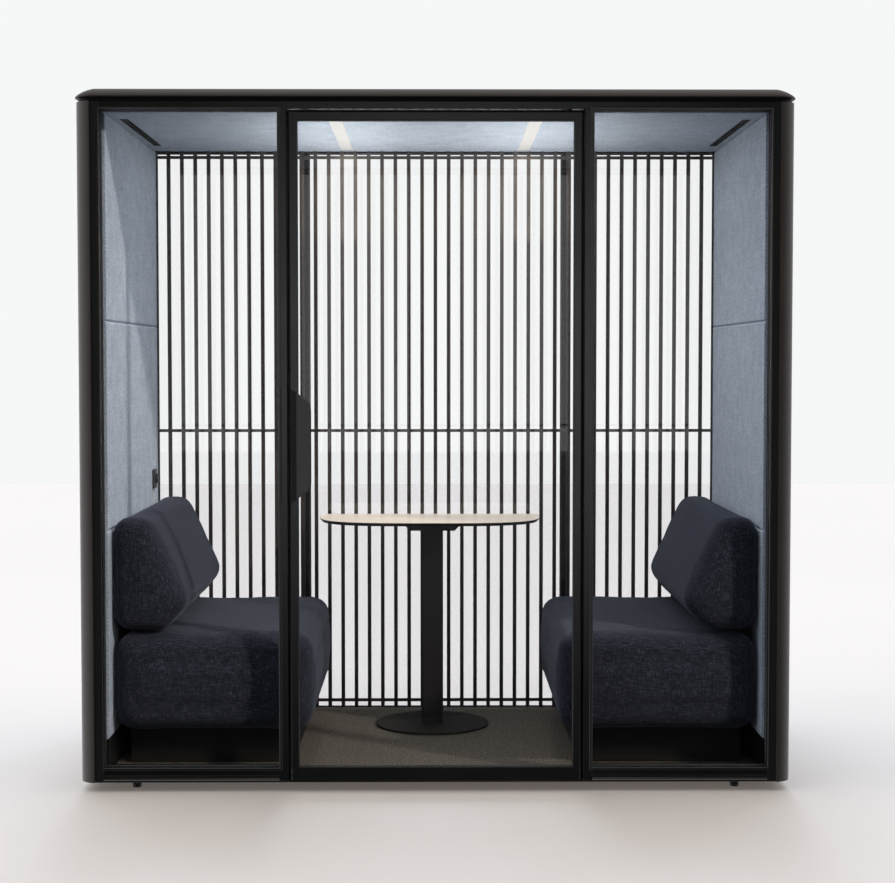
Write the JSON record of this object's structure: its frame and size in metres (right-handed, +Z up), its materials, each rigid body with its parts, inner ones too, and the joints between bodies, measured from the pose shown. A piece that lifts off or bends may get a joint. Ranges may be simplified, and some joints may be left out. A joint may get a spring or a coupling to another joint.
{
  "type": "acoustic office pod",
  "caption": "Free-standing glazed acoustic office pod with facing upholstered sofas, a pedestal table, a slatted rear screen and an outward-opening pivot door.",
  "frame": {"origin": "on the ground under the middle of the part's bounding box, handle included", "axes": "+Z up, +X to the right of a person facing the door, -Y out of the front with the door"},
  "size_m": [2.308, 1.242, 2.26],
  "materials": {
    "shell_paint": "satin",
    "frame_paint": "satin",
    "glass": "gloss",
    "wall_felt": "matte",
    "sofa_weave": "matte",
    "carpet_pile": "matte",
    "black_board": "matte",
    "black_plastic": "matte",
    "light_diffuser": "matte",
    "slat_wood": "matte",
    "table_oak": "satin",
    "black_steel": "satin",
    "foot_rubber": "matte"
  },
  "bodies": {
    "cabin": {"base_chassis": "black_board", "carpet": "carpet_pile", "ceiling_panel": "wall_felt", "control_plate": "black_plastic", "corner_post_front_left": "frame_paint", "corner_post_front_right": "frame_paint", "corner_post_rear_left": "frame_paint", "corner_post_rear_right": "frame_paint", "fan_housing": "black_plastic", "front_glass_left": "glass", "front_glass_right": "glass", "front_header": "frame_paint", "front_mullion_left": "frame_paint", "front_mullion_right": "frame_paint", "front_sill": "frame_paint", "left_back_cushion": "sofa_weave", "left_light_strip": "light_diffuser", "left_outer_panel": "shell_paint", "left_seat_cushion": "sofa_weave", "left_seat_plinth": "black_board", "left_skirting": "black_board", "left_vent_grille": "black_plastic", "left_wall_pad_1": "wall_felt", "left_wall_pad_2": "wall_felt", "left_wall_pad_3": "wall_felt", "levelling_foot_front_left": "foot_rubber", "levelling_foot_front_right": "foot_rubber", "levelling_foot_rear_left": "foot_rubber", "levelling_foot_rear_right": "foot_rubber", "rear_glass_centre": "glass", "rear_glass_left": "glass", "rear_glass_right": "glass", "rear_header": "frame_paint", "rear_mullion_left": "frame_paint", "rear_mullion_right": "frame_paint", "rear_sill": "frame_paint", "right_back_cushion": "sofa_weave", "right_light_strip": "light_diffuser", "right_outer_panel": "shell_paint", "right_seat_cushion": "sofa_weave", "right_seat_plinth": "black_board", "right_skirting": "black_board", "right_vent_grille": "black_plastic", "right_wall_pad_1": "wall_felt", "right_wall_pad_2": "wall_felt", "right_wall_pad_3": "wall_felt", "roof_cap": "shell_paint", "roof_panel": "black_board", "slat_screen": "slat_wood", "table_base": "black_steel", "table_column": "black_steel", "table_spider": "black_steel", "table_top": "table_oak"},
    "door": {"door_frame": "frame_paint", "door_glass": "glass", "door_handle": "black_steel", "door_pivot_pin_top": "black_steel", "door_pivot_pin_bottom": "black_steel"},
    "knob": {"control_knob": "black_plastic"},
    "rotor": {"fan_rotor": "black_plastic"}
  },
  "joints": [
    {"name": "door_swing", "type": "hinge", "parent": "cabin", "child": "door", "pos_m": [0.4265, -0.56202, 0.039], "axis": [0, 0, 1], "range_deg": [0, 100]},
    {"name": "knob_turn", "type": "hinge", "parent": "cabin", "child": "knob", "pos_m": [-1.0537, 0.44198, 0.948], "axis": [1, 0, 0], "range_deg": [0, 270]},
    {"name": "fan_spin", "type": "hinge", "parent": "cabin", "child": "rotor", "pos_m": [0, 0.01698, 2.236], "axis": [0, 0, 1], "continuous": true}
  ]
}
